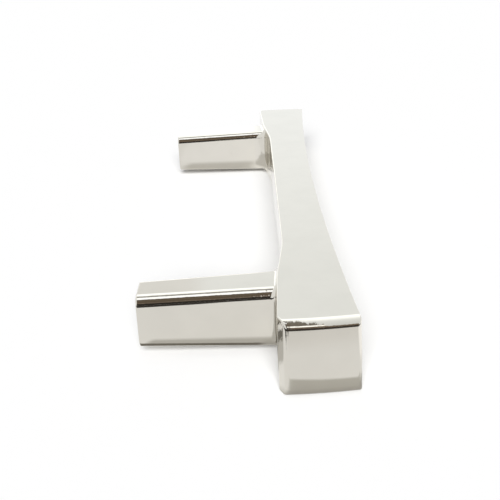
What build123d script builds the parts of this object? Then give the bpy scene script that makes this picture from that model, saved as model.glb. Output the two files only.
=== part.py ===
from build123d import *
import math
import os

# Cabinet pull, cast in one piece. Millimetres.
# X runs along the bar, +Y points into the drawer front, +Z is up.
# The origin is midway between the two screw holes, on the mounting plane.

# Overall sizes
hole_spacing = 96.0
overall_length = 130.6
projection = 32.0
bar_height = 11.4

# Bar seen from above: depths run from the projection line back towards the drawer
end_depth = 11.6
post_line_depth = 10.95
waist_depth = 9.65
waist_length = 70.0
shoulder_radius = 50.0
front_hollow = 1.9
end_setback = 0.5
end_crown = 0.25

# Posts, sized at the mounting plane
post_width = 7.5
post_height = 8.5
post_draft = 1.5
post_edge_radius = 1.6

# Casting details
side_draft = 0.8
end_radius = 1.3
front_corner_radius = 0.7
facet_length = 2.2
facet_depth = 1.05
facet_edge_radius = 0.4
facet_rear_radius = 1.5
bar_edge_radius = 0.25
blend_radius = 0.8
mounting_edge_radius = 0.3

# Blind tapped holes for M4 screws
tap_drill_radius = 1.65
thread_depth = 11.0
drill_point_angle = 118.0
mouth_chamfer = 0.45

# Derived places
half_length = overall_length / 2
half_spacing = hole_spacing / 2
half_height = bar_height / 2
front_y = -projection
end_rear_y = front_y + end_depth
post_rear_y = front_y + post_line_depth
waist_y = front_y + waist_depth
post_length = -waist_y


def end_arc(side):
    """Crowned end outline, from its front corner to its rear corner."""
    front_corner = (side * (half_length - end_setback), front_y)
    rear_corner = (side * half_length, end_rear_y)
    middle = (
        (front_corner[0] + rear_corner[0]) / 2 + side * end_crown,
        (front_y + end_rear_y) / 2,
    )
    return front_corner, middle, rear_corner


def bar_outline():
    """Outline of the bar seen from above: hollow front, crowned ends, waisted rear."""
    left_front, left_middle, left_rear = end_arc(-1)
    right_front, right_middle, right_rear = end_arc(1)
    rear = FilletPolyline(
        right_rear,
        (half_spacing, post_rear_y),
        (waist_length / 2, waist_y),
        (-waist_length / 2, waist_y),
        (-half_spacing, post_rear_y),
        left_rear,
        radius=shoulder_radius,
    )
    edges = [
        ThreePointArc(left_front, (0, front_y + front_hollow), right_front),
        ThreePointArc(right_front, right_middle, right_rear),
        *rear.edges(),
        ThreePointArc(left_rear, left_middle, left_front),
    ]
    return make_face(edges)


def drafted_half():
    """Upper half of the bar, drafted from the parting plane, with sharp edges."""
    return extrude(bar_outline(), amount=half_height, taper=side_draft)


def end_faces(half):
    """The two crowned end faces of the bar."""
    faces = half.faces().sort_by(Axis.X)
    return faces[0], faces[-1]


def faceted_corners(half):
    """Cut a facet on each rear upright edge, long along the bar and short on the end face."""
    for end in (0, 1):
        face = end_faces(half)[end]
        upright = face.edges().sort_by(Axis.Y)[-1]
        half = chamfer(upright, facet_depth, facet_length, reference=face)
    rearmost_edges = half.edges().sort_by(Axis.Y)[-2:]
    return fillet(rearmost_edges, facet_rear_radius)


def rounded_ends(half):
    """Round the top edges of both end faces, then their upright edges."""
    top_edges = [face.edges().sort_by(Axis.Z)[-1] for face in end_faces(half)]
    half = fillet(top_edges, end_radius)
    front_edges = [face.edges().sort_by(Axis.Y)[0] for face in end_faces(half)]
    half = fillet(front_edges, front_corner_radius)
    facet_edges = [face.edges().sort_by(Axis.Y)[-1] for face in end_faces(half)]
    return fillet(facet_edges, facet_edge_radius)


def eased_edges(half):
    """Ease the long edges between the side face and the front, the rear and the facets."""
    side_face = half.faces().sort_by(Axis.Z)[-1]
    return fillet(side_face.edges().sort_by(Axis.X)[1:-1], bar_edge_radius)


def make_post_half(side):
    """Upper half of a post, growing by its draft from the mounting plane into the bar."""
    foot = Plane((side * half_spacing, 0, 0), x_dir=(1, 0, 0), z_dir=(0, -1, 0))
    blank = foot * Rectangle(post_width, post_height)
    post = extrude(blank, amount=post_length, taper=-post_draft)
    lengthwise = post.edges().sort_by(SortBy.LENGTH)[-4:]
    post = fillet(lengthwise, post_edge_radius)
    mounting_face = post.faces().sort_by(Axis.Y)[-1]
    post = fillet(mounting_face.edges(), mounting_edge_radius)
    return split(post, bisect_by=Plane.XY, keep=Keep.TOP)


def make_screw_hole(side):
    """Tapped blind hole in a post: chamfered mouth, thread bore and drill point."""
    mouth_radius = tap_drill_radius + mouth_chamfer
    point_depth = tap_drill_radius / math.tan(math.radians(drill_point_angle / 2))
    profile = Polyline(
        (0, 0),
        (mouth_radius, 0),
        (tap_drill_radius, -mouth_chamfer),
        (tap_drill_radius, -thread_depth),
        (0, -thread_depth - point_depth),
        close=True,
    )
    hole = revolve(make_face(profile), axis=Axis.Y)
    return Pos(side * half_spacing, 0, 0) * hole


def make_pull():
    """The whole casting: two mirrored halves with the posts blended in, then drilled."""
    blank = faceted_corners(drafted_half())
    bar = rounded_ends(blank) & eased_edges(blank)
    posts = [make_post_half(side) for side in (-1, 1)]
    half = bar + posts
    half = fillet(new_edges(bar, *posts, combined=half), blend_radius)
    casting = half + mirror(half, about=Plane.XY)
    return casting - [make_screw_hole(side) for side in (-1, 1)]


pull = make_pull()
pull.label = "pull"
os.makedirs("parts", exist_ok=True)
export_step(pull, "parts/pull.step")
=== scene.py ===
"""Looks of a polished nickel cabinet pull, dressed around its packed construction model.

The pull lies on its side on a pale floor and is seen past one end of its bar. Sizes of the
casting are millimetres, as in the construction model, and become metres as its meshes are made.
"""

from __future__ import annotations

import logging
import math
from dataclasses import dataclass, field
from enum import Enum

import bmesh
import bpy
from mathutils import Matrix, Vector

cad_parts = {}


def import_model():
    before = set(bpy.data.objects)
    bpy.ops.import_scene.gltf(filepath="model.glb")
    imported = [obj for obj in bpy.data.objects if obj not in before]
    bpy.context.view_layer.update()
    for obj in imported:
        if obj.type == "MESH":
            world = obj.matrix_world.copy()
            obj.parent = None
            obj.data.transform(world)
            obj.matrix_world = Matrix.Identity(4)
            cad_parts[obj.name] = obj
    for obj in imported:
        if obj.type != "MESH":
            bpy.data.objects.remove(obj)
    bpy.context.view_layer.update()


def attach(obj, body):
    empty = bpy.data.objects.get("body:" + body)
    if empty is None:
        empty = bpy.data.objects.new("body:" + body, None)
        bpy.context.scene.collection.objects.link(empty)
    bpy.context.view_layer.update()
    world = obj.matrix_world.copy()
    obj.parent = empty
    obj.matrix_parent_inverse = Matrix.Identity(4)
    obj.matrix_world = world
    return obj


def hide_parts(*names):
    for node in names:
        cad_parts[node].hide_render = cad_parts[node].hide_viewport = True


LOG = logging.getLogger("cabinet_pull")
BODY = "root"
PULL_NODE = "pull"
ROUNDING = "rounding"
MM = 0.001
TINY_ANGLE = 1e-6
TINY_LENGTH = 1e-9

# A point of a surface and the outward normal there
Sample = tuple[Vector, Vector]


@dataclass(frozen=True)
class PullSizes:
    """Sizes of the casting in millimetres, with the mounting plane at y = 0.

    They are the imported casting's, apart from two. end_crown is slightly less, so that the
    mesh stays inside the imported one, and facet_edge_radius is more, as in the photograph.
    """

    hole_spacing: float = 96.0
    overall_length: float = 130.6
    projection: float = 32.0
    bar_height: float = 11.4
    end_depth: float = 11.6
    post_line_depth: float = 10.95
    waist_depth: float = 9.65
    waist_length: float = 70.0
    shoulder_radius: float = 50.0
    front_hollow: float = 1.9
    end_setback: float = 0.5
    end_crown: float = 0.244
    side_draft: float = 0.8
    end_radius: float = 1.3
    front_corner_radius: float = 0.7
    facet_length: float = 2.2
    facet_depth: float = 1.05
    facet_edge_radius: float = 0.9
    facet_rear_radius: float = 1.5
    bar_edge_radius: float = 0.25
    post_width: float = 7.5
    post_height: float = 8.5
    post_draft: float = 1.5
    post_edge_radius: float = 1.6
    mounting_edge_radius: float = 0.3
    tap_drill_radius: float = 1.65
    thread_depth: float = 11.0
    drill_point_angle: float = 118.0
    mouth_chamfer: float = 0.45

    @property
    def mouth_radius(self) -> float:
        """Radius of the chamfered mouth of a screw hole."""
        return self.tap_drill_radius + self.mouth_chamfer

    @property
    def half_height(self) -> float:
        """Height of the bar's top face over the parting plane."""
        return self.bar_height / 2

    def rear_corners(self) -> list[Vector]:
        """List the corners of the bar's rear.

        Returns:
            The corners in plan, from the bar's end to its middle.
        """
        front_y = -self.projection
        return [
            Vector((self.overall_length / 2, front_y + self.end_depth)),
            Vector((self.hole_spacing / 2, front_y + self.post_line_depth)),
            Vector((self.waist_length / 2, front_y + self.waist_depth)),
            Vector((0.0, front_y + self.waist_depth)),
        ]


@dataclass
class Surface:
    """Vertices, outward normals and faces gathered for one mesh, in millimetres."""

    points: list[Vector] = field(default_factory=list)
    normals: list[Vector] = field(default_factory=list)
    faces: list[tuple[int, ...]] = field(default_factory=list)

    def add_ring(self, ring: list[Sample]) -> list[int]:
        """Add one closed ring of points.

        Args:
            ring: The points with their normals.

        Returns:
            The indices of the new points.
        """
        first = len(self.points)
        for point, normal in ring:
            self.points.append(point)
            self.normals.append(normal.normalized())
        return list(range(first, len(self.points)))

    def bridge(self, low: list[int], high: list[int]) -> None:
        """Join two rings of equal length with a band of quads.

        Args:
            low: Indices of the first ring's points.
            high: Indices of the second ring's points.
        """
        count = len(low)
        for i in range(count):
            j = (i + 1) % count
            self.faces.append((low[i], low[j], high[j], high[i]))

    def cap(self, ring: list[int]) -> None:
        """Close a flat ring with one face."""
        self.faces.append(tuple(ring))

    @staticmethod
    def roundness(normal: Vector, full: float = 0.08) -> float:
        """Tell how far a normal is from square: 0 on a flat face, 1 well into a rounding."""
        return min(1.0, (1.0 - max(abs(part) for part in normal)) / full)

    def to_mesh(self, name: str) -> bpy.types.Mesh:
        """Make the mesh in metres, with faces turned outwards and the gathered normals.

        Args:
            name: Name of the mesh.

        Returns:
            The new mesh.
        """
        mesh = bpy.data.meshes.new(name)
        mesh.from_pydata([point * MM for point in self.points], [], self.faces)
        work = bmesh.new()
        work.from_mesh(mesh)
        bmesh.ops.recalc_face_normals(work, faces=work.faces)
        work.to_mesh(mesh)
        work.free()
        mesh.shade_smooth()
        rounding = mesh.attributes.new(ROUNDING, "FLOAT", "POINT")
        rounding.data.foreach_set("value", [self.roundness(n) for n in self.normals])
        mesh.normals_split_custom_set_from_vertices([tuple(n) for n in self.normals])
        mesh.update()
        return mesh


def add_object(name: str, data: bpy.types.ID) -> bpy.types.Object:
    """Make an object and add it to the scene.

    Args:
        name: Name of the object.
        data: What it holds, such as a mesh or a camera.

    Returns:
        The new object.
    """
    made = bpy.data.objects.new(name, data)
    bpy.context.scene.collection.objects.link(made)
    return made


def right_of(way: Vector) -> Vector:
    """Turn a plan direction a quarter to the right."""
    return Vector((way.y, -way.x))


def direction(heading: float, height: float) -> Vector:
    """Give the unit vector that points to a place in the sky.

    Args:
        heading: Degrees from +X towards +Y.
        height: Degrees above the horizon.

    Returns:
        The unit vector.
    """
    turn, rise = math.radians(heading), math.radians(height)
    flat = math.cos(rise)
    return Vector((flat * math.cos(turn), flat * math.sin(turn), math.sin(rise)))


def mirrored(samples: list[Sample], signs: tuple[int, int, int]) -> list[Sample]:
    """Flip samples along each axis that has the sign -1."""
    flip = Vector(signs)
    return [(point * flip, normal * flip) for point, normal in samples]


def circle_meet(a: Vector, ra: float, b: Vector, rb: float, side: int) -> Vector:
    """Find where two circles cross.

    Args:
        a: Centre of the first circle.
        ra: Radius of the first circle.
        b: Centre of the second circle.
        rb: Radius of the second circle.
        side: 1 for the crossing on the left of the line from a to b, -1 for the right.

    Returns:
        The crossing point.
    """
    gap = b - a
    span = gap.length
    along = (ra * ra - rb * rb + span * span) / (2 * span)
    across = math.sqrt(max(ra * ra - along * along, 0.0))
    unit = gap / span
    return a + unit * along - right_of(unit) * across * side


def between(start: Vector, end: Vector, share: float) -> Vector:
    """Turn one unit direction part of the way towards another.

    Args:
        start: The first direction.
        end: The other direction.
        share: Share of the way, from 0 to 1.

    Returns:
        The direction between them.
    """
    angle = start.angle(end, 0.0)
    if angle < TINY_ANGLE:
        return start.copy()
    low = math.sin((1 - share) * angle) / math.sin(angle)
    high = math.sin(share * angle) / math.sin(angle)
    return start * low + end * high


def line_meet(a: Vector, a_normal: Vector, b: Vector, b_normal: Vector) -> Vector:
    """Find where two plan lines cross.

    Args:
        a: A point on the first line.
        a_normal: Normal of the first line.
        b: A point on the second line.
        b_normal: Normal of the second line.

    Returns:
        The crossing point.
    """
    spread = a_normal.x * b_normal.y - a_normal.y * b_normal.x
    a_reach = a.dot(a_normal)
    b_reach = b.dot(b_normal)
    return Vector(
        (
            (a_reach * b_normal.y - b_reach * a_normal.y) / spread,
            (b_reach * a_normal.x - a_reach * b_normal.x) / spread,
        )
    )


@dataclass(frozen=True)
class Side:
    """A straight side of the bar in plan: a point on it and its outward normal."""

    point: Vector
    normal: Vector

    def moved_in(self, inset: float) -> Vector:
        """Give a point of the side's line after the line moves inwards."""
        return self.point - self.normal * inset

    def along(self) -> Vector:
        """Give the direction of the side, turned a quarter to the left of its normal."""
        return -right_of(self.normal)


@dataclass(frozen=True)
class Rim:
    """A curved side of the bar in plan: an arc's centre and radius."""

    centre: Vector
    radius: float

    @classmethod
    def through(cls, start: Vector, end: Vector, rise: float) -> Rim:
        """Find the arc through two points that rises by a given amount between them.

        Args:
            start: First point.
            end: Last point.
            rise: Height of the arc over its chord, positive to the right of start to end.

        Returns:
            The arc.
        """
        chord = end - start
        radius = ((chord.length / 2) ** 2 + rise**2) / (2 * abs(rise))
        right = right_of(chord).normalized() * math.copysign(1.0, rise)
        return cls((start + end) / 2 + right * (abs(rise) - radius), radius)


@dataclass(frozen=True)
class Plan:
    """Outline of the right half of the bar on the parting plane, seen from above.

    Attributes:
        front: The hollow front.
        end: The crowned end.
        facet: The facet on the rear upright corner.
        run: The straight run of the rear next to the facet.
    """

    front: Rim
    end: Rim
    facet: Side
    run: Side

    @classmethod
    def of(cls, sizes: PullSizes) -> Plan:
        """Lay out the outline from the casting's sizes.

        Args:
            sizes: Sizes of the casting.

        Returns:
            The outline.
        """
        front_x = sizes.overall_length / 2 - sizes.end_setback
        front_corner = Vector((front_x, -sizes.projection))
        other_corner = Vector((-front_x, -sizes.projection))
        rear_corner, post_line = sizes.rear_corners()[:2]
        front = Rim.through(other_corner, front_corner, -sizes.front_hollow)
        end = Rim.through(front_corner, rear_corner, sizes.end_crown)
        run_way = (post_line - rear_corner).normalized()
        spoke = rear_corner - end.centre
        spoke.rotate(Matrix.Rotation(-sizes.facet_depth / end.radius, 2))
        facet_start = end.centre + spoke
        facet_way = (rear_corner + run_way * sizes.facet_length - facet_start).normalized()
        return cls(
            front,
            end,
            Side(facet_start, right_of(facet_way)),
            Side(rear_corner, right_of(run_way)),
        )


@dataclass(frozen=True)
class Level:
    """One horizontal slice of the bar, with how far its sides lie inside the parting outline.

    Attributes:
        z: Height of the slice.
        side_inset: Inset of the front, the facets and the rear.
        side_tilt: Upward tilt of their normals, in radians.
        end_inset: Inset of the end face.
        end_tilt: Upward tilt of its normal, in radians.
        climb: Share of the end face's rounding that lies below the slice.
    """

    z: float
    side_inset: float
    side_tilt: float
    end_inset: float
    end_tilt: float
    climb: float


@dataclass
class Bar:
    """The waisted bar with hollow front, crowned ends, rear facets and eased edges.

    Attributes:
        sizes: Sizes of the casting.
        low_slices: Heights of the lower slices, as shares of the way up to the end's rounding.
        round_steps: Slices through the rounding of the end faces.
        corner_steps: Steps round an upright corner.
        front_steps: Steps along half the front.
        end_steps: Steps across an end face.
        blend_steps: Steps round a shoulder of the rear.
        straight_steps: Steps along a straight run.
        front_shrink: Share of the front corner's radius that is gone at the top.
        facet_shrink: Share of the facet edge's radius that is gone at the top.
    """

    sizes: PullSizes
    low_slices: tuple[float, ...] = (0.0, 0.25, 0.95)
    round_steps: int = 16
    corner_steps: int = 10
    front_steps: int = 40
    end_steps: int = 10
    blend_steps: int = 10
    straight_steps: int = 6
    front_shrink: float = 0.8
    facet_shrink: float = 0.5

    def inset(self, z: float, radius: float) -> tuple[float, float]:
        """Work out how far a drafted side with a rounded top edge lies in at a height.

        Args:
            z: Height above the parting plane.
            radius: Radius of the top edge.

        Returns:
            The inset, and the upward tilt of the normal in radians.
        """
        draft = math.radians(self.sizes.side_draft)
        half_height = self.sizes.half_height
        tangent_z = half_height - radius + radius * math.sin(draft)
        if z <= tangent_z:
            return z * math.tan(draft), draft if z > 0 else 0.0
        tilt = math.asin(min(1.0, (z - half_height + radius) / radius))
        centre_inset = tangent_z * math.tan(draft) + radius * math.cos(draft)
        return centre_inset - radius * math.cos(tilt), tilt

    def levels(self) -> list[Level]:
        """List the slices of the bar's upper half.

        Returns:
            The slices from the parting plane to the top face.
        """
        end_radius = self.sizes.end_radius
        start = self.sizes.half_height - end_radius
        draft = math.radians(self.sizes.side_draft)
        heights = [start * share for share in self.low_slices]
        for step in range(self.round_steps + 1):
            angle = draft + (math.pi / 2 - draft) * step / self.round_steps
            heights.append(start + end_radius * math.sin(angle))
        found = []
        for z in heights:
            side_inset, side_tilt = self.inset(z, self.sizes.bar_edge_radius)
            end_inset, end_tilt = self.inset(z, end_radius)
            climb = max(0.0, (z - start) / end_radius)
            found.append(Level(z, side_inset, side_tilt, end_inset, end_tilt, climb))
        return found

    def rear_line(self) -> list[Sample]:
        """Sample the rear of the bar on the parting plane.

        Returns:
            The samples in plan, from the outer run to the middle.
        """
        corners = self.sizes.rear_corners()
        samples = []
        entry = corners[0]
        for here, after in zip(corners[1:], corners[2:]):
            run_in = (here - entry).normalized()
            run_out = (after - here).normalized()
            turn = run_in.angle(run_out)
            reach = self.sizes.shoulder_radius * math.tan(turn / 2)
            arc_start = here - run_in * reach
            arc_end = here + run_out * reach
            samples += self.straight(entry, arc_start)
            samples += self.arc(arc_start, arc_end, run_in, run_out)
            entry = arc_end
        samples += self.straight(entry, corners[-1])
        samples.append((corners[-1], Vector((0.0, 1.0))))
        return samples

    def straight(self, start: Vector, end: Vector) -> list[Sample]:
        """Sample a straight run.

        Args:
            start: Where it starts.
            end: Where it ends.

        Returns:
            The samples, without the last point.
        """
        normal = right_of((end - start).normalized())
        steps = self.straight_steps
        return [(start.lerp(end, step / steps), normal) for step in range(steps)]

    def arc(self, start: Vector, end: Vector, run_in: Vector, run_out: Vector) -> list[Sample]:
        """Sample a shallow arc between two runs that it is tangent to.

        Args:
            start: Where it starts.
            end: Where it ends.
            run_in: Direction of the run before it.
            run_out: Direction of the run after it.

        Returns:
            The samples, without the last point.
        """
        bulge = (end - start).length / 2 * math.tan(run_in.angle(run_out) / 4)
        chord = (run_in + run_out).normalized()
        bulge_way = right_of(chord) * math.copysign(1.0, run_in.cross(run_out))
        samples = []
        for step in range(self.blend_steps):
            share = step / self.blend_steps
            point = start.lerp(end, share) + bulge_way * bulge * 4 * share * (1 - share)
            samples.append((point, right_of(between(run_in, run_out, share))))
        return samples

    def slice_half(self, level: Level) -> list[Sample]:
        """Sample the right half of a slice, from the middle of the front to that of the rear.

        Args:
            level: The slice.

        Returns:
            The samples in order.
        """
        sizes = self.sizes
        plan = Plan.of(sizes)
        side_out = plan.front.radius + level.side_inset
        end_out = plan.end.radius - level.end_inset
        front_fillet = sizes.front_corner_radius * (1 - self.front_shrink * level.climb)
        edge_fillet = sizes.facet_edge_radius * (1 - self.facet_shrink * level.climb)
        rear_fillet = sizes.facet_rear_radius - level.side_inset

        front_corner = circle_meet(
            plan.front.centre,
            side_out + front_fillet,
            plan.end.centre,
            end_out - front_fillet,
            -1,
        )
        front_way = (front_corner - plan.front.centre).normalized()
        end_way = (front_corner - plan.end.centre).normalized()
        ring = self.front_points(plan.front.centre, side_out, front_way, level)
        ring += self.corner(
            front_corner,
            plan.front.centre + front_way * side_out,
            plan.end.centre + end_way * end_out,
            self.tilted(-front_way, level.side_tilt),
            self.tilted(end_way, level.end_tilt),
            level.z,
        )

        facet_base = plan.facet.moved_in(level.side_inset + edge_fillet)
        edge_corner = self.rim_meet(
            plan.end.centre, end_out - edge_fillet, facet_base, plan.facet.along()
        )
        last_way = (edge_corner - plan.end.centre).normalized()
        ring += self.end_points(plan.end.centre, end_out, end_way, last_way, level)
        facet_normal = self.tilted(plan.facet.normal, level.side_tilt)
        run_normal = self.tilted(plan.run.normal, level.side_tilt)
        facet_start = edge_corner + plan.facet.normal * edge_fillet
        ring += self.corner(
            edge_corner,
            plan.end.centre + last_way * end_out,
            facet_start,
            self.tilted(last_way, level.end_tilt),
            facet_normal,
            level.z,
        )
        rear_corner = line_meet(
            plan.facet.moved_in(level.side_inset + rear_fillet),
            plan.facet.normal,
            plan.run.moved_in(level.side_inset + rear_fillet),
            plan.run.normal,
        )
        run_start = rear_corner + plan.run.normal * rear_fillet
        ring += self.corner(
            rear_corner,
            rear_corner + plan.facet.normal * rear_fillet,
            run_start,
            facet_normal,
            run_normal,
            level.z,
        )
        return ring + self.rear_points(run_start, level)

    def front_points(
        self, centre: Vector, reach: float, last_way: Vector, level: Level
    ) -> list[Sample]:
        """Sample the hollow front from the middle to just before its corner.

        Args:
            centre: Centre of the front's arc.
            reach: Radius of the arc at this slice.
            last_way: Direction from the centre to where the corner starts.
            level: The slice.

        Returns:
            The samples in order.
        """
        samples = []
        for step in range(self.front_steps):
            angle = math.asin(last_way.x) * step / self.front_steps
            unit = Vector((math.sin(angle), math.cos(angle)))
            normal = self.tilted(-unit, level.side_tilt)
            samples.append((self.raised(centre + unit * reach, level.z), normal))
        return samples

    def end_points(
        self, centre: Vector, reach: float, first_way: Vector, last_way: Vector, level: Level
    ) -> list[Sample]:
        """Sample the crowned end between its two corners, without their touching points.

        Args:
            centre: Centre of the end's arc.
            reach: Radius of the arc at this slice.
            first_way: Direction from the centre to the front corner.
            last_way: Direction from the centre to the rear corner.
            level: The slice.

        Returns:
            The samples in order.
        """
        samples = []
        for step in range(1, self.end_steps):
            unit = between(first_way, last_way, step / self.end_steps)
            normal = self.tilted(unit, level.end_tilt)
            samples.append((self.raised(centre + unit * reach, level.z), normal))
        return samples

    def rear_points(self, run_start: Vector, level: Level) -> list[Sample]:
        """Sample the rear from just after its corner to the middle.

        Args:
            run_start: Where the straight run starts after the corner.
            level: The slice.

        Returns:
            The samples in order.
        """
        rear = self.rear_line()
        shoulder, shoulder_normal = rear[self.straight_steps]
        shoulder_start = shoulder - shoulder_normal * level.side_inset
        samples = []
        for index, (point, normal) in enumerate(rear[1:], start=1):
            place = point - normal * level.side_inset
            if index < self.straight_steps:
                place = run_start.lerp(shoulder_start, index / self.straight_steps)
            samples.append((self.raised(place, level.z), self.tilted(normal, level.side_tilt)))
        return samples

    @staticmethod
    def rim_meet(centre: Vector, reach: float, base: Vector, run: Vector) -> Vector:
        """Find where a line first meets a circle.

        Args:
            centre: Centre of the circle.
            reach: Its radius.
            base: A point on the line.
            run: Direction of the line.

        Returns:
            The first crossing point along the line.
        """
        offset = base - centre
        half_b = offset.dot(run)
        root = math.sqrt(half_b**2 - (offset.length_squared - reach**2))
        return base + run * (-half_b - root)

    def corner(
        self, centre: Vector, start: Vector, end: Vector, n_start: Vector, n_end: Vector, z: float
    ) -> list[Sample]:
        """Sample an upright rounded corner of a slice, with both its ends.

        Args:
            centre: Centre of the rounding in plan.
            start: Where it starts.
            end: Where it ends.
            n_start: Normal at its start.
            n_end: Normal at its end.
            z: Height of the slice.

        Returns:
            The samples in order.
        """
        spoke = start - centre
        turn = spoke.angle_signed(end - centre)
        samples = []
        for step in range(self.corner_steps + 1):
            share = step / self.corner_steps
            arm = spoke.copy()
            arm.rotate(Matrix.Rotation(-turn * share, 2))
            samples.append((self.raised(centre + arm, z), between(n_start, n_end, share)))
        return samples

    @staticmethod
    def raised(point: Vector, z: float) -> Vector:
        """Lift a plan point to a height."""
        return Vector((point.x, point.y, z))

    @staticmethod
    def tilted(plan_normal: Vector, tilt: float) -> Vector:
        """Tilt a plan normal upwards."""
        flat = plan_normal.to_3d() * math.cos(tilt)
        return flat + Vector((0, 0, math.sin(tilt)))

    def build(self, surface: Surface) -> None:
        """Add the bar to a surface.

        Args:
            surface: The surface to add to.
        """
        slices = []
        for level in self.levels():
            half = self.slice_half(level)
            slices.append(half + mirrored(half[-2:0:-1], (-1, 1, 1)))
        lower = [mirrored(ring, (1, 1, -1)) for ring in slices[:0:-1]]
        rings = [surface.add_ring(ring) for ring in lower + slices]
        for low, high in zip(rings, rings[1:]):
            surface.bridge(low, high)
        surface.cap(rings[0])
        surface.cap(rings[-1])

    def rear_at(self, x: float) -> tuple[float, Vector]:
        """Find the rear of the bar at a place along it.

        Args:
            x: Distance from the middle.

        Returns:
            The depth y of the rear on the parting plane, and the plan normal there.
        """
        rear = self.rear_line()
        reach = abs(x)
        for (far, far_normal), (near, near_normal) in zip(rear, rear[1:]):
            if near.x <= reach <= far.x:
                share = (far.x - reach) / max(far.x - near.x, TINY_LENGTH)
                normal = far_normal.lerp(near_normal, share)
                if x < 0:
                    normal = Vector((-normal.x, normal.y))
                return far.y + (near.y - far.y) * share, normal
        return rear[-1][0].y, Vector((0.0, 1.0))


@dataclass
class Post:
    """A square tapered post that blends into the rear of the bar.

    Attributes:
        sizes: Sizes of the casting.
        bar: The bar that carries the post.
        side: -1 for the post on the left, 1 for the one on the right.
        inner_blend: Radius of the root blend on the side towards the other post.
        outer_blend: The same on the side towards the bar's end.
        level_blend: The same above and below the post.
        corner_steps: Steps round an edge of the post.
        flat_steps: Steps across a flat face.
        blend_steps: Rings through the root blend.
        wall_steps: Rings along the post.
        tip_steps: Rings round the rounding of its tip.
        skin: How far the blend's outer edge lies inside the bar.
        bury_depth: How far the post goes on inside the bar.
        bury_height: Height of its hidden end, as a share of the height at the bar's surface.
        least_rise: Upward share of a direction below which it counts as level.
    """

    sizes: PullSizes
    bar: Bar
    side: int
    inner_blend: float = 3.2
    outer_blend: float = 1.1
    level_blend: float = 0.6
    corner_steps: int = 10
    flat_steps: int = 4
    blend_steps: int = 12
    wall_steps: int = 6
    tip_steps: int = 5
    skin: float = 0.004
    bury_depth: float = 1.0
    bury_height: float = 0.9
    least_rise: float = 0.01

    @property
    def centre_x(self) -> float:
        """Place of the post's axis along the bar."""
        return self.side * self.sizes.hole_spacing / 2

    def section(self, y: float, inset: float) -> list[Sample]:
        """Sample the post's outline at a depth.

        Args:
            y: Depth from the mounting plane, zero or negative.
            inset: How far the outline is drawn in.

        Returns:
            The samples, with both the points and the normals in (x, z).
        """
        sizes = self.sizes
        growth = -y * math.tan(math.radians(sizes.post_draft))
        half_width = sizes.post_width / 2 + growth - inset
        half_height = sizes.post_height / 2 + growth - inset
        radius = sizes.post_edge_radius - inset
        centres = [
            Vector((self.centre_x + sx * (half_width - radius), sz * (half_height - radius)))
            for sx, sz in ((1, 1), (-1, 1), (-1, -1), (1, -1))
        ]
        samples = []
        for quarter, centre in enumerate(centres):
            for step in range(self.corner_steps + 1):
                angle = math.pi / 2 * (quarter + step / self.corner_steps)
                unit = Vector((math.cos(angle), math.sin(angle)))
                samples.append((centre + unit * radius, unit))
            following = centres[(quarter + 1) % len(centres)]
            for step in range(1, self.flat_steps):
                point = centre.lerp(following, step / self.flat_steps) + unit * radius
                samples.append((point, unit))
        return samples

    def blend_radius(self, point: Vector, unit: Vector) -> float:
        """Choose the root blend for a place round the post, with room above and below it.

        Args:
            point: Place on the post's outline, in (x, z).
            unit: Outward direction there.

        Returns:
            Radius of the blend.
        """
        sideways = self.outer_blend if unit.x * self.side > 0 else self.inner_blend
        wanted = self.level_blend + (sideways - self.level_blend) * unit.x**2
        room = self.sizes.half_height - self.sizes.bar_edge_radius - abs(point.y)
        return min(wanted, room / max(abs(unit.y), self.least_rise))

    def ring(self, y: float, inset: float, tilt: float) -> list[Sample]:
        """Make a ring of the post.

        Args:
            y: Depth from the mounting plane, zero or negative.
            inset: How far the ring is drawn in.
            tilt: How far its normals lean towards the drawer, in radians.

        Returns:
            The samples in order.
        """
        ring = []
        for point, unit in self.section(y, inset):
            normal = Vector((unit.x * math.cos(tilt), math.sin(tilt), unit.y * math.cos(tilt)))
            ring.append((Vector((point.x, y, point.y)), normal))
        return ring

    def root_ring(self, share: float) -> list[Sample]:
        """Make a ring of the blend between the post and the bar.

        Args:
            share: Place in the blend, from the post's wall at 0 to the bar's rear at 1.

        Returns:
            The samples in order.
        """
        draft = math.tan(math.radians(self.sizes.side_draft))
        post_draft = math.radians(self.sizes.post_draft)
        root_y = -self.sizes.projection + self.sizes.post_line_depth
        ring = []
        for point, unit in self.section(root_y, 0.0):
            radius = self.blend_radius(point, unit)
            outer = point + unit * radius
            rear_y, rear_normal = self.bar.rear_at(outer.x)
            floor_y = rear_y - abs(outer.y) * draft - self.skin
            turn = post_draft + (math.pi / 2 - post_draft) * share
            aside = radius * (1 - math.cos(turn))
            y = floor_y + radius * (1 - math.sin(turn))
            place = point + unit * aside
            wall = Vector((unit.x, 0.0, unit.y))
            lean = Vector((rear_normal.x, rear_normal.y, math.copysign(draft, outer.y)))
            normal = wall * math.cos(turn) + lean.normalized() * math.sin(turn)
            shrink = (root_y - y) * math.tan(post_draft) * (1 - share)
            x, z = place + unit * shrink
            ring.append((Vector((x, y, z)), normal))
        return ring

    def mouth_ring(self) -> list[Sample]:
        """Make the ring round the mouth of the screw hole.

        Returns:
            The samples, one for each point of the post's tip.
        """
        ring = []
        for point, _ in self.section(0.0, self.sizes.mounting_edge_radius):
            arm = Vector((point.x - self.centre_x, point.y)).normalized() * self.sizes.mouth_radius
            ring.append((Vector((self.centre_x + arm.x, 0.0, arm.y)), Vector((0, 1, 0))))
        return ring

    def buried_ring(self) -> list[Sample]:
        """Make the ring that ends the post inside the bar.

        Returns:
            The samples in order.
        """
        ring = []
        for point, _ in self.root_ring(1.0):
            place = Vector((point.x, point.y - self.bury_depth, point.z * self.bury_height))
            ring.append((place, Vector((0, -1, 0))))
        return ring

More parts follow.
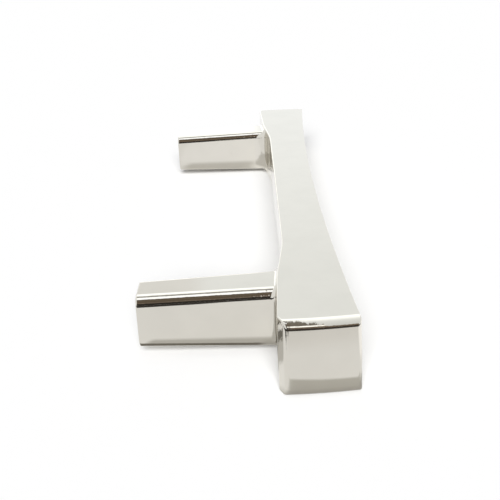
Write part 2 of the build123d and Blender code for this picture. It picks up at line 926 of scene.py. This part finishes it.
    def build(self, surface: Surface) -> None:
        """Add the post to a surface.

        Args:
            surface: The surface to add to.
        """
        tip = self.sizes.mounting_edge_radius
        draft = math.radians(self.sizes.post_draft)
        rings = [surface.add_ring(self.mouth_ring())]
        for step in range(self.tip_steps + 1):
            turn = math.pi / 2 - (math.pi / 2 - draft) * step / self.tip_steps
            y = -tip * (1 - math.sin(turn))
            rings.append(surface.add_ring(self.ring(y, tip * (1 - math.cos(turn)), turn)))
        wall_start, wall_end = self.ring(-tip, 0.0, draft), self.root_ring(0.0)
        for step in range(1, self.wall_steps):
            share = step / self.wall_steps
            wall = [(a.lerp(b, share), normal) for (a, normal), (b, _) in zip(wall_start, wall_end)]
            rings.append(surface.add_ring(wall))
        for step in range(self.blend_steps + 1):
            rings.append(surface.add_ring(self.root_ring(step / self.blend_steps)))
        rings.append(surface.add_ring(self.buried_ring()))
        for low, high in zip(rings, rings[1:]):
            surface.bridge(low, high)
        surface.cap(rings[-1])


@dataclass(frozen=True)
class Viewpoint:
    """Where the camera stands and how it is turned.

    Attributes:
        place: Position of the camera in the part's frame.
        yaw: Heading in degrees, turned from +X towards +Y.
        pitch: Degrees that the camera looks down.
        roll: Degrees that the camera leans.
        lens: Focal length in millimetres.
        sensor: Width of the sensor in millimetres.
        sight: Nearest and farthest distance that the camera sees, in metres.
    """

    place: tuple[float, float, float] = (-0.173657, -0.018618, 0.058256)
    yaw: float = 0.595
    pitch: float = 21.166
    roll: float = -2.946
    lens: float = 65.31
    sensor: float = 36.0
    sight: tuple[float, float] = (0.005, 20.0)

    def turn(self) -> Matrix:
        """Work out how the camera is turned.

        Returns:
            The camera's world matrix.
        """
        roll = math.radians(self.roll)
        forward = direction(self.yaw, -self.pitch)
        level_right = forward.cross(Vector((0.0, 0.0, 1.0))).normalized()
        level_up = level_right.cross(forward)
        right = math.cos(roll) * level_right + math.sin(roll) * level_up
        up = math.cos(roll) * level_up - math.sin(roll) * level_right
        turned = Matrix((right, up, -forward)).transposed().to_4x4()
        turned.translation = Vector(self.place)
        return turned

    def build(self) -> bpy.types.Object:
        """Make the camera and hand it to the scene.

        Returns:
            The camera object.
        """
        data = bpy.data.cameras.new("viewpoint")
        data.lens = self.lens
        data.sensor_width = self.sensor
        data.sensor_fit = "HORIZONTAL"
        data.clip_start, data.clip_end = self.sight
        camera = add_object("viewpoint", data)
        camera.matrix_world = self.turn()
        bpy.context.scene.camera = camera
        return camera


class Ray(Enum):
    """Kinds of ray that a shader can tell apart."""

    CAMERA = "Is Camera Ray"
    MIRROR = "Is Glossy Ray"
    GLASS = "Is Transmission Ray"


def make_tree(
    name: str, kind: str, inputs: dict[str, str], outputs: dict[str, str]
) -> bpy.types.NodeTree:
    """Make an empty node group with named sockets.

    Args:
        name: Name of the group.
        kind: Kind of tree, such as ShaderNodeTree.
        inputs: Kind of each input, such as Float, by name.
        outputs: Kind of each output, by name.

    Returns:
        The node group.
    """
    tree = bpy.data.node_groups.new(name, kind)
    for way, sockets in (("INPUT", inputs), ("OUTPUT", outputs)):
        for label, socket in sockets.items():
            tree.interface.new_socket(label, in_out=way, socket_type="NodeSocket" + socket)
    return tree


@dataclass(frozen=True)
class Noise:
    """A noise pattern.

    Attributes:
        scale: Waves for each millimetre.
        detail: How many finer layers it has.
        seed: Place in the fourth dimension, which picks the pattern.
    """

    scale: float
    detail: float
    seed: float


@dataclass
class NodeDesk:
    """Short ways to place and wire nodes in one tree."""

    tree: bpy.types.NodeTree

    def feed(self, node: bpy.types.Node, values: dict[str | int, object]) -> None:
        """Feed a node's inputs.

        Args:
            node: The node.
            values: Plain values, or sockets to wire, by the inputs' names or numbers.
        """
        for name, value in values.items():
            if isinstance(value, bpy.types.NodeSocket):
                self.tree.links.new(value, node.inputs[name])
            else:
                node.inputs[name].default_value = value

    def node(
        self, kind: str, values: dict[str | int, object] | None = None, **settings: object
    ) -> bpy.types.NodeOutputs:
        """Place a node.

        Args:
            kind: Its kind.
            values: What its inputs get, by name or number.
            **settings: Its properties.

        Returns:
            Its outputs.
        """
        made = self.tree.nodes.new(kind)
        for name, value in settings.items():
            setattr(made, name, value)
        self.feed(made, values or {})
        return made.outputs

    def math(self, operation: str, *values: object) -> bpy.types.NodeSocket:
        """Place a Math node, with what its inputs get in order."""
        return self.node("ShaderNodeMath", dict(enumerate(values)), operation=operation)[0]

    def smooth_step(self, value: object, low: object, high: object) -> bpy.types.NodeSocket:
        """Rise smoothly from 0 at low to 1 at high."""
        values = {"Value": value, "From Min": low, "From Max": high}
        return self.node("ShaderNodeMapRange", values, interpolation_type="SMOOTHSTEP")["Result"]

    def mix(self, share: object, low: object, high: object) -> bpy.types.NodeSocket:
        """Mix two colours by a share."""
        values = {"Factor": share, "A": low, "B": high}
        return self.node("ShaderNodeMix", values, data_type="RGBA", clamp_factor=True)["Result"]

    def split(self, vector: object) -> bpy.types.NodeOutputs:
        """Split a vector into its X, Y and Z."""
        return self.node("ShaderNodeSeparateXYZ", {0: vector})

    def join(self, **parts: object) -> bpy.types.NodeSocket:
        """Join X, Y and Z into a vector, with 0 for what isn't given."""
        return self.node("ShaderNodeCombineXYZ", parts)[0]

    def noise(self, place: object, pattern: Noise) -> bpy.types.NodeSocket:
        """Place a noise texture that varies about a half.

        Args:
            place: Coordinates, in millimetres.
            pattern: What the noise is like.

        Returns:
            The value socket.
        """
        values = {
            "Vector": place,
            "W": pattern.seed,
            "Scale": pattern.scale,
            "Detail": pattern.detail,
        }
        return self.node("ShaderNodeTexNoise", values, noise_dimensions="4D")["Fac"]

    def group(self, tree: bpy.types.NodeTree, **values: object) -> bpy.types.NodeOutputs:
        """Place a node group and feed its inputs."""
        return self.node("ShaderNodeGroup", values, node_tree=tree)


@dataclass(frozen=True)
class Patch:
    """A soft-edged rectangle that changes a tone.

    In the mirrored room its two coordinates are angles in degrees. The first runs from the
    horizon at +X through straight up to the horizon at -X, and the second is how far a direction
    leans towards +Y. On the floor they are y and x in metres, and there the patches are painted
    shadows and painted glows that only the metal's reflections show.

    Attributes:
        name: What the patch is.
        u: Lowest and highest first coordinate.
        v: Lowest and highest second coordinate.
        u_edge: Width of the fade at the ends of u.
        v_edge: Width of the fade at the ends of v.
        tint: Colour of the patch, where 1 is white.
        lean: How far the low end of v shifts for each unit of u past the pivot.
        pivot: The u at which the low end of v lies where it is given.
    """

    name: str
    u: tuple[float, float]
    v: tuple[float, float]
    u_edge: float
    v_edge: float
    tint: tuple[float, float, float]
    lean: float = 0.0
    pivot: float = 90.0

    @staticmethod
    def tree() -> bpy.types.NodeTree:
        """Give the node group that masks a patch, and make it the first time.

        Returns:
            The node group.
        """
        name = "soft_rectangle"
        if name in bpy.data.node_groups:
            return bpy.data.node_groups[name]
        labels = ("U", "V", "ULow", "UHigh", "VLow", "VHigh", "UEdge", "VEdge")
        inputs = dict.fromkeys(labels, "Float")
        tree = make_tree(name, "ShaderNodeTree", inputs, {"Mask": "Float"})
        desk = NodeDesk(tree)
        get = desk.node("NodeGroupInput")
        masks = []
        for axis in ("U", "V"):
            half = desk.math("MULTIPLY", get[axis + "Edge"], 0.5)
            fades = []
            for limit in (get[axis + "Low"], get[axis + "High"]):
                low = desk.math("SUBTRACT", limit, half)
                high = desk.math("ADD", limit, half)
                fades.append(desk.smooth_step(get[axis], low, high))
            masks.append(desk.math("SUBTRACT", *fades))
        desk.node("NodeGroupOutput", {"Mask": desk.math("MULTIPLY", *masks)})
        return tree

    def mask(self, desk: NodeDesk, u: object, v: object) -> bpy.types.NodeSocket:
        """Mask the patch in a tree.

        Args:
            desk: Desk of the tree.
            u: First coordinate.
            v: Second coordinate.

        Returns:
            The socket of the mask.
        """
        low: object = self.v[0]
        if self.lean:
            past = desk.math("MULTIPLY", desk.math("SUBTRACT", u, self.pivot), self.lean)
            low = desk.math("ADD", past, self.v[0])
        return desk.group(
            self.tree(),
            U=u,
            V=v,
            ULow=self.u[0],
            UHigh=self.u[1],
            VLow=low,
            VHigh=self.v[1],
            UEdge=self.u_edge,
            VEdge=self.v_edge,
        )["Mask"]

    def over(self, desk: NodeDesk, tone: object, u: object, v: object) -> bpy.types.NodeSocket:
        """Lay the patch over a tone."""
        return desk.mix(self.mask(desk, u, v), tone, self.tint + (1.0,))


@dataclass(frozen=True)
class NickelFinish:
    """Bright polished nickel plate over a casting that was smoothed by hand.

    Attributes:
        name: Name of the material.
        colour: Colour that the metal gives to what it reflects.
        cloudy_colour: The same where the polish is slightly clouded.
        roughness: Lowest and highest roughness of the polish.
        swell: Height of the long unevenness of the faces, in metres.
        ripple: Height of the short unevenness of the roundings, in metres.
        grain: Height of the finest polishing marks, in metres.
        clouds: Pattern of the clouded polish.
        marks: Pattern of the polishing marks.
        swelling: Pattern of the long unevenness.
        rippling: Pattern of the short unevenness.
        marks_stretch: Share of the marks' waves that is left along each axis.
        cloud_limits: Values of the clouds between which the colour changes.
        cloud_weight: Share of the clouds in the roughness, beside the marks.
    """

    name: str = "polished_nickel"
    colour: tuple[float, float, float, float] = (0.662, 0.638, 0.58, 1.0)
    cloudy_colour: tuple[float, float, float, float] = (0.643, 0.62, 0.563, 1.0)
    roughness: tuple[float, float] = (0.035, 0.085)
    swell: float = 0.0000035
    ripple: float = 0.000022
    grain: float = 0.0000003
    clouds: Noise = Noise(0.22, 3.0, 3.0)
    marks: Noise = Noise(9.0, 2.0, 11.0)
    swelling: Noise = Noise(0.11, 1.0, 5.0)
    rippling: Noise = Noise(1.2, 2.0, 7.0)
    marks_stretch: tuple[float, float, float] = (0.18, 1.0, 1.0)
    cloud_limits: tuple[float, float] = (0.35, 0.7)
    cloud_weight: float = 0.55

    def build(self) -> bpy.types.Material:
        """Make the material.

        Returns:
            The finished material.
        """
        material = bpy.data.materials.new(self.name)
        material.use_nodes = True
        desk = NodeDesk(material.node_tree)
        place = desk.node("ShaderNodeTexCoord")["Object"]
        rounding = desk.node("ShaderNodeAttribute", attribute_name=ROUNDING)["Fac"]
        worked = desk.group(self.polish_tree(), Place=place, Rounding=rounding)
        bump = desk.node("ShaderNodeBump", {"Distance": 1.0, "Height": worked["Height"]})
        values = {
            "Base Color": worked["Tint"],
            "Metallic": 1.0,
            "Roughness": worked["Roughness"],
            "Normal": bump["Normal"],
        }
        desk.feed(material.node_tree.nodes["Principled BSDF"], values)
        return material

    def polish_tree(self) -> bpy.types.NodeTree:
        """Make the node group of the worked surface.

        Returns:
            The node group, with outputs for the tint, the roughness and the height.
        """
        tree = make_tree(
            "hand_polish",
            "ShaderNodeTree",
            {"Place": "Vector", "Rounding": "Float"},
            {"Tint": "Color", "Roughness": "Float", "Height": "Float"},
        )
        desk = NodeDesk(tree)
        get = desk.node("NodeGroupInput")
        scaled = {0: get["Place"], "Scale": 1.0 / MM}
        here = desk.node("ShaderNodeVectorMath", scaled, operation="SCALE")[0]
        stretch = {0: here, 1: self.marks_stretch}
        stretched = desk.node("ShaderNodeVectorMath", stretch, operation="MULTIPLY")[0]

        clouds = desk.noise(here, self.clouds)
        marks = desk.noise(stretched, self.marks)
        swell = desk.noise(here, self.swelling)
        ripple = desk.noise(here, self.rippling)
        cloud_share = desk.smooth_step(clouds, *self.cloud_limits)

        low, high = self.roughness
        weighted_marks = desk.math("MULTIPLY", marks, 1.0 - self.cloud_weight)
        share = desk.math("MULTIPLY_ADD", clouds, self.cloud_weight, weighted_marks)

        rounded_ripple = desk.math("MULTIPLY", ripple, get["Rounding"])
        uneven = desk.math("MULTIPLY", rounded_ripple, self.ripple)
        height = desk.math("MULTIPLY_ADD", swell, self.swell, uneven)
        values = {
            "Tint": desk.mix(cloud_share, self.colour, self.cloudy_colour),
            "Roughness": desk.math("MULTIPLY_ADD", share, high - low, low),
            "Height": desk.math("MULTIPLY_ADD", marks, self.grain, height),
        }
        desk.node("NodeGroupOutput", values)
        return tree


@dataclass
class Casting:
    """The whole casting: the bar with its two posts as one mesh."""

    sizes: PullSizes

    def build(self, finish: bpy.types.Material) -> bpy.types.Object:
        """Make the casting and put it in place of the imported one.

        Args:
            finish: Material of the casting.

        Returns:
            The casting's object.
        """
        surface = Surface()
        bar = Bar(self.sizes)
        bar.build(surface)
        for side in (-1, 1):
            Post(self.sizes, bar, side).build(surface)
        mesh = surface.to_mesh("casting")
        mesh.materials.append(finish)
        casting = add_object("casting", mesh)
        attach(casting, BODY)
        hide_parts(PULL_NODE)
        LOG.info("casting: %d faces", len(mesh.polygons))
        return casting


@dataclass(frozen=True)
class TappedHoles:
    """The two blind tapped holes in the ends of the posts.

    Attributes:
        sizes: Sizes of the casting.
        thread_radius: Radius at the bottom of the thread's grooves.
        pitch: Distance between the thread's turns.
        fade: Length over which the thread runs out at its end.
        rim: How far the mouth reaches behind the casting's face.
        round_steps: Steps round a hole.
        depth_steps: Steps down a hole.
        weld: Distance under which points of a hole become one.
        crease: Smallest angle of a sharp edge, in degrees.
    """

    sizes: PullSizes
    thread_radius: float = 2.0
    pitch: float = 0.7
    fade: float = 0.8
    rim: float = 0.004
    round_steps: int = 48
    depth_steps: int = 170
    weld: float = 0.001
    crease: float = 35.0

    def build(self, finish: bpy.types.Material) -> bpy.types.Object:
        """Make the holes as one piece that rides with the casting.

        Args:
            finish: Material of the holes.

        Returns:
            The holes' object.
        """
        tree = self.tree()
        holes = add_object("tapped_holes", bpy.data.meshes.new("tapped_holes_source"))
        modifier = holes.modifiers.new("holes", "NODES")
        modifier.node_group = tree
        values = self.values()
        for item in tree.interface.items_tree:
            if item.item_type == "SOCKET" and item.in_out == "INPUT":
                modifier[item.identifier] = finish if item.name == "Finish" else values[item.name]
        graph = bpy.context.evaluated_depsgraph_get()
        mesh = bpy.data.meshes.new_from_object(holes.evaluated_get(graph))
        holes.modifiers.remove(modifier)
        mesh.name = "tapped_holes"
        mesh.set_sharp_from_angle(angle=math.radians(self.crease))
        holes.data = mesh
        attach(holes, BODY)
        LOG.info("tapped holes: %d faces", len(mesh.polygons))
        return holes

    def values(self) -> dict[str, float | int]:
        """List the inputs of the holes' tree.

        Returns:
            The values by name, with lengths in metres.
        """
        return {
            "Spacing": self.sizes.hole_spacing * MM,
            "Mouth Radius": (self.sizes.mouth_radius + self.rim) * MM,
            "Drill Radius": self.sizes.tap_drill_radius * MM,
            "Thread Radius": self.thread_radius * MM,
            "Pitch": self.pitch * MM,
            "Fade": self.fade * MM,
            "Rim": self.rim * MM,
            "Thread Depth": self.sizes.thread_depth * MM,
            "Weld": self.weld * MM,
            "Point Slope": math.tan(math.radians(self.sizes.drill_point_angle / 2)),
            "Round Steps": self.round_steps,
            "Depth Steps": self.depth_steps,
        }

    def tree(self) -> bpy.types.NodeTree:
        """Make the geometry node tree that cuts the threads.

        Returns:
            The node tree.
        """
        inputs = {
            name: "Int" if isinstance(value, int) else "Float"
            for name, value in self.values().items()
        }
        inputs["Finish"] = "Material"
        tree = make_tree("tapped_holes", "GeometryNodeTree", inputs, {"Geometry": "Geometry"})
        desk = NodeDesk(tree)
        get = desk.node("NodeGroupInput")

        square = {
            "Size X": 1.0,
            "Size Y": 1.0,
            "Vertices X": get["Round Steps"],
            "Vertices Y": get["Depth Steps"],
        }
        grid = desk.node("GeometryNodeMeshGrid", square)
        spot = desk.split(desk.node("GeometryNodeInputPosition")[0])
        turn = desk.math("ADD", spot["X"], 0.5)
        down = desk.math("ADD", spot["Y"], 0.5)
        reach, depth = self.profile(desk, get, turn, down)
        angle = desk.math("MULTIPLY", turn, 2.0 * math.pi)
        place = desk.join(
            X=desk.math("MULTIPLY", reach, desk.math("SINE", angle)),
            Y=desk.math("SUBTRACT", desk.math("MULTIPLY", depth, -1.0), get["Rim"]),
            Z=desk.math("MULTIPLY", reach, desk.math("COSINE", angle)),
        )
        rolled = {"Geometry": grid["Mesh"], "Position": place}
        shaped = desk.node("GeometryNodeSetPosition", rolled)
        seam = {"Geometry": shaped["Geometry"], "Distance": get["Weld"]}
        welded = desk.node("GeometryNodeMergeByDistance", seam)

        places = {
            "Count": 2,
            "Start Location": desk.join(X=desk.math("MULTIPLY", get["Spacing"], -0.5)),
            "Offset": desk.join(X=get["Spacing"]),
        }
        pair = desk.node("GeometryNodeMeshLine", places)
        both = {"Points": pair["Mesh"], "Instance": welded["Geometry"]}
        copies = desk.node("GeometryNodeInstanceOnPoints", both)
        real = desk.node("GeometryNodeRealizeInstances", {"Geometry": copies["Instances"]})
        plated = {"Geometry": real["Geometry"], "Material": get["Finish"]}
        dressed = desk.node("GeometryNodeSetMaterial", plated)
        desk.node("NodeGroupOutput", {"Geometry": dressed["Geometry"]})
        return tree

    def profile(
        self, desk: NodeDesk, get: object, turn: object, down: object
    ) -> tuple[bpy.types.NodeSocket, bpy.types.NodeSocket]:
        """Work out the hole's radius and depth for a share of a turn and of the way down.

        Args:
            desk: Desk of the tree.
            get: Inputs of the tree, by name.
            turn: Share of a turn round the hole.
            down: Share of the way down to the drill point's tip.

        Returns:
            The sockets of the radius and the depth, in metres.
        """
        tip = desk.math("DIVIDE", get["Drill Radius"], get["Point Slope"])
        depth = desk.math("MULTIPLY", down, desk.math("ADD", get["Thread Depth"], tip))
        cone = desk.math("SUBTRACT", get["Mouth Radius"], depth)
        turns = desk.math("ADD", desk.math("DIVIDE", depth, get["Pitch"]), turn)
        phase = desk.math("FRACT", turns)
        ridge = desk.math("ABSOLUTE", desk.math("MULTIPLY_ADD", phase, 2.0, -1.0))
        fade_start = desk.math("SUBTRACT", get["Thread Depth"], get["Fade"])
        left = desk.math("SUBTRACT", 1.0, desk.smooth_step(depth, fade_start, get["Thread Depth"]))
        groove = desk.math("SUBTRACT", get["Thread Radius"], get["Drill Radius"])
        cut = desk.math("MULTIPLY", desk.math("MULTIPLY", groove, ridge), left)
        thread = desk.math("ADD", get["Drill Radius"], cut)
        past = desk.math("MAXIMUM", desk.math("SUBTRACT", depth, get["Thread Depth"]), 0.0)
        bore = desk.math("SUBTRACT", thread, desk.math("MULTIPLY", past, get["Point Slope"]))
        return desk.math("MAXIMUM", desk.math("MAXIMUM", cone, bore), 0.0), depth


# Limits of patches that have no edge there: past any angle of the room, in degrees, and past
# the sides of the floor, in metres
ROUND = 400.0
FAR = 9.0

ROOM = (
    Patch("side_wall", (-ROUND, ROUND), (28.0, ROUND), 1.0, 16.0, (1.05, 1.06, 1.06)),
    Patch("front_wall", (-ROUND, ROUND), (-ROUND, -28.0), 1.0, 16.0, (1.05, 1.06, 1.06)),
    Patch("far_light", (-10.0, 17.5), (0.6, 20.0), 3.0, 1.5, (1.63, 1.66, 1.66)),
    Patch("near_light", (19.0, 27.0), (5.0, 20.0), 2.0, 2.0, (1.0, 1.0, 0.99)),
    Patch("ceiling_gap", (67.0, 88.0), (-1.5, 20.0), 8.0, 3.0, (0.42, 0.41, 0.39)),
    Patch("overhead_box", (89.0, 111.0), (0.5, 20.0), 5.0, 2.0, (1.66, 1.7, 1.78)),
    Patch("dim_wall", (86.0, 170.0), (-1.9, 1.0), 5.0, 1.3, (0.24, 0.215, 0.18), -0.12),
    Patch("dark_room", (113.0, ROUND), (0.0, 22.0), 5.0, 2.5, (0.15, 0.118, 0.088)),
    Patch("shelf_edge", (127.0, 129.5), (0.0, 20.0), 1.5, 2.5, (0.24, 0.195, 0.15)),
    Patch("picture_rail", (153.0, 158.0), (1.0, 20.0), 2.0, 2.5, (0.26, 0.21, 0.165)),
    Patch("window_strip", (145.0, 162.0), (-9.0, 1.0), 5.0, 4.0, (1.75, 1.74, 1.7)),
    Patch("far_edge", (167.0, ROUND), (-20.0, 0.5), 4.0, 2.0, (0.24, 0.185, 0.135)),
    Patch("black_foot", (161.0, ROUND), (0.5, 22.0), 3.0, 2.0, (0.04, 0.036, 0.032)),
)

# Painted shade on the floor, seen only in the metal's reflections: painted shadows in front of the
# end and the posts, darker towards their feet, a painted darker grade towards the paper's edge, and
# painted dark reflection past the paper's edges. The camera and the lamps see the plain pale floor.
FLOOR_PAINTED_SHADES = (
    Patch(
        "end_shade",
        (-0.0355, -0.021),
        (-0.0703, -0.06),
        0.004,
        0.0008,
        (0.57, 0.56, 0.53),
        -0.126,
        -0.0215,
    ),
    Patch(
        "painted_contact_shadow_at_end",
        (-0.0355, -0.021),
        (-0.0672, -0.06),
        0.004,
        0.006,
        (0.44, 0.43, 0.41),
        -0.126,
        -0.0215,
    ),
    Patch("post_shade", (-0.022, -0.0008), (-0.058, -0.051), 0.0014, 0.0014, (0.58, 0.57, 0.55)),
    Patch("painted_contact_shadow_at_post", (-0.0185, 0.002), (-0.0529, -0.0505), 0.002, 0.0008, (0.2, 0.19, 0.17)),
    Patch("far_post_shade", (-0.018, -0.0008), (0.032, 0.046), 0.003, 0.004, (0.66, 0.65, 0.63)),
    Patch("painted_shade_towards_paper_edge", (-FAR, FAR), (-FAR, -0.0815), 0.002, 0.007, (0.85, 0.84, 0.83)),
    Patch("painted_dark_beyond_end_edge_of_paper", (-FAR, FAR), (-FAR, -0.0882), 0.002, 0.002, (0.06, 0.052, 0.044)),
    Patch("painted_dark_beyond_side_edge_of_paper", (-0.0205, FAR), (-FAR, -0.0858), 0.002, 0.002, (0.05, 0.045, 0.04)),
    Patch("painted_dark_beyond_corner_of_paper", (-0.0085, FAR), (-FAR, -0.0755), 0.008, 0.002, (0.05, 0.045, 0.04)),
)

# Painted glows: light that the floor gives off only in the metal's reflections, though it is no
# lamp, in front of the bar, between the posts and along the bar's rear.
FLOOR_PAINTED_GLOWS = (
    Patch("side_glow", (-FAR, -0.042), (-0.09, 0.06), 0.006, 0.004, (0.27, 0.27, 0.28)),
    Patch("far_glow", (-0.024, 0.002), (0.0, 0.032), 0.002, 0.006, (0.08, 0.08, 0.09)),
    Patch("rear_glow", (-0.0225, -0.017), (-0.05, 0.08), 0.004, 0.004, (0.1, 0.1, 0.1)),
)


@dataclass(frozen=True)
class Lamp:
    """A distant soft lamp that lights the floor and isn't mirrored.

    Attributes:
        name: Name of the lamp.
        heading: Degrees from +X towards +Y of the side that its light comes from.
        height: Degrees that it stands above the horizon.
        strength: Light on a surface that faces it.
        softness: Width of the lamp as seen from the floor, in degrees.
    """

    name: str = "front_lamp"
    heading: float = 178.0
    height: float = 31.0
    strength: float = 4.6
    softness: float = 30.0

    def build(self) -> bpy.types.Object:
        """Hang the lamp.

        Returns:
            The lamp's object.
        """
        data = bpy.data.lights.new(self.name, "SUN")
        data.energy = self.strength
        data.angle = math.radians(self.softness)
        lamp = add_object(self.name, data)
        way = direction(self.heading, self.height)
        lamp.rotation_euler = way.to_track_quat("Z", "Y").to_euler()
        lamp.visible_glossy = False
        return lamp


@dataclass
class Studio:
    """Pale floor, white surroundings and the room that the metal mirrors.

    Attributes:
        floor_level: Height of the floor.
        floor_size: Length of its sides.
        floor_tone: How much light the floor gives back.
        light_level: Strength of the light that falls from all round.
        backdrop: Stops of arch angle and tone for the room before its patches.
        brightest: Tone that the top of the backdrop's curve stands for.
        backdrop_tint: Share of the tone in red, green and blue.
    """

    floor_level: float
    floor_size: float = 6.0
    floor_tone: float = 0.93
    light_level: float = 0.32
    backdrop: tuple[tuple[float, float], ...] = (
        (0.0, 1.18),
        (18.0, 1.17),
        (25.0, 1.12),
        (31.0, 1.48),
        (37.0, 1.72),
        (60.0, 1.7),
        (86.0, 1.42),
        (98.0, 1.2),
        (112.0, 1.09),
        (130.0, 1.02),
        (150.0, 0.95),
        (180.0, 0.95),
    )
    brightest: float = 2.0
    backdrop_tint: tuple[float, float, float] = (0.975, 1.0, 1.01)

    def build_floor(self) -> bpy.types.Object:
        """Lay the floor under the pull.

        Returns:
            The floor's object.
        """
        half = self.floor_size / 2
        mesh = bpy.data.meshes.new("floor")
        corners = [(-half, -half), (half, -half), (half, half), (-half, half)]
        mesh.from_pydata([(x, y, self.floor_level) for x, y in corners], [], [(0, 1, 2, 3)])
        mesh.materials.append(self.floor_material())
        floor = add_object("floor", mesh)
        return floor

    def floor_material(self) -> bpy.types.Material:
        """Make the floor's matt material, with painted shadows, painted dark reflection past the
        paper's edges and painted glows that only the metal's reflections show.

        Returns:
            The floor's material.
        """
        material = bpy.data.materials.new("pale_floor")
        material.use_nodes = True
        desk = NodeDesk(material.node_tree)
        spot = desk.split(desk.node("ShaderNodeNewGeometry")["Position"])
        mirror = desk.node("ShaderNodeLightPath")[Ray.MIRROR.value]
        plain = (self.floor_tone,) * 3 + (1.0,)
        black = (0.0, 0.0, 0.0, 1.0)
        # tone gathers the painted shadows and glow the painted glows; both reach only the mirror
        # rays
        tone, glow = plain, black
        for shade in FLOOR_PAINTED_SHADES:
            tone = shade.over(desk, tone, spot["Y"], spot["X"])
        for patch in FLOOR_PAINTED_GLOWS:
            glow = patch.over(desk, glow, spot["Y"], spot["X"])
        values = {
            "Base Color": desk.mix(mirror, plain, tone),
            "Roughness": 1.0,
            "Specular IOR Level": 0.0,
            "Emission Color": desk.mix(mirror, black, glow),
            "Emission Strength": 1.0,
        }
        desk.feed(material.node_tree.nodes["Principled BSDF"], values)
        return material

    def build_world(self) -> None:
        """Surround the scene: white to the eye, an even light, and the room for the metal."""
        world = bpy.data.worlds.new("studio")
        world.use_nodes = True
        desk = NodeDesk(world.node_tree)
        rays = desk.node("ShaderNodeLightPath")
        way = desk.node("ShaderNodeTexCoord")["Generated"]
        room = desk.group(self.room_tree(), Direction=way)["Light"]
        white = (1.0, 1.0, 1.0, 1.0)
        reflected = desk.math("MAXIMUM", rays[Ray.MIRROR.value], rays[Ray.GLASS.value])
        seen = desk.math("MAXIMUM", reflected, rays[Ray.CAMERA.value])
        level = self.light_level
        values = {
            "Color": desk.mix(reflected, white, room),
            "Strength": desk.math("SUBTRACT", level, desk.math("MULTIPLY", seen, level - 1.0)),
        }
        desk.feed(world.node_tree.nodes["Background"], values)
        bpy.context.scene.world = world

    def room_tree(self) -> bpy.types.NodeTree:
        """Make the node group of the room that the metal mirrors.

        Returns:
            The node group, which gives the light for a direction.
        """
        tree = make_tree(
            "mirrored_room", "ShaderNodeTree", {"Direction": "Vector"}, {"Light": "Color"}
        )
        desk = NodeDesk(tree)
        way = desk.split(desk.node("NodeGroupInput")["Direction"])
        degree = math.degrees(1.0)
        arch = desk.math("MULTIPLY", desk.math("ARCTAN2", way["Z"], way["X"]), degree)
        side = desk.math("MULTIPLY", desk.math("ARCSINE", way["Y"]), degree)
        light = self.backdrop_ramp(desk, arch)
        for patch in ROOM:
            light = patch.over(desk, light, arch, side)
        desk.node("NodeGroupOutput", {"Light": light})
        return tree

    def backdrop_ramp(self, desk: NodeDesk, arch: object) -> bpy.types.NodeSocket:
        """Grade the room from the horizon over the top to the other horizon.

        Args:
            desk: Desk of the room's tree.
            arch: Angle over the top from the horizon at +X, in degrees.

        Returns:
            The socket of the graded colour.
        """
        half_turn = self.backdrop[-1][0]
        stops = [(angle / half_turn, tone / self.brightest) for angle, tone in self.backdrop]
        curve = desk.tree.nodes.new("ShaderNodeFloatCurve")
        points = curve.mapping.curves[0].points
        for stop in stops[1:-1]:
            points.new(*stop)
        points[0].location, points[-1].location = stops[0], stops[-1]
        curve.mapping.update()
        desk.feed(curve, {"Value": desk.math("DIVIDE", arch, half_turn)})
        tone = desk.math("MULTIPLY", curve.outputs["Value"], self.brightest)
        colours = [desk.math("MULTIPLY", tone, share) for share in self.backdrop_tint]
        return desk.node("ShaderNodeCombineColor", dict(enumerate(colours)))[0]


def main() -> None:
    """Dress the pull and set up its studio."""
    logging.basicConfig(level=logging.INFO, format="%(name)s: %(message)s")
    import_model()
    bpy.context.scene.view_settings.view_transform = "Standard"
    sizes = PullSizes()
    nickel = NickelFinish().build()
    Casting(sizes).build(nickel)
    TappedHoles(sizes).build(nickel)
    Lamp().build()
    studio = Studio(floor_level=-sizes.half_height * MM)
    studio.build_floor()
    studio.build_world()
    Viewpoint().build()


if __name__ == "__main__":
    main()
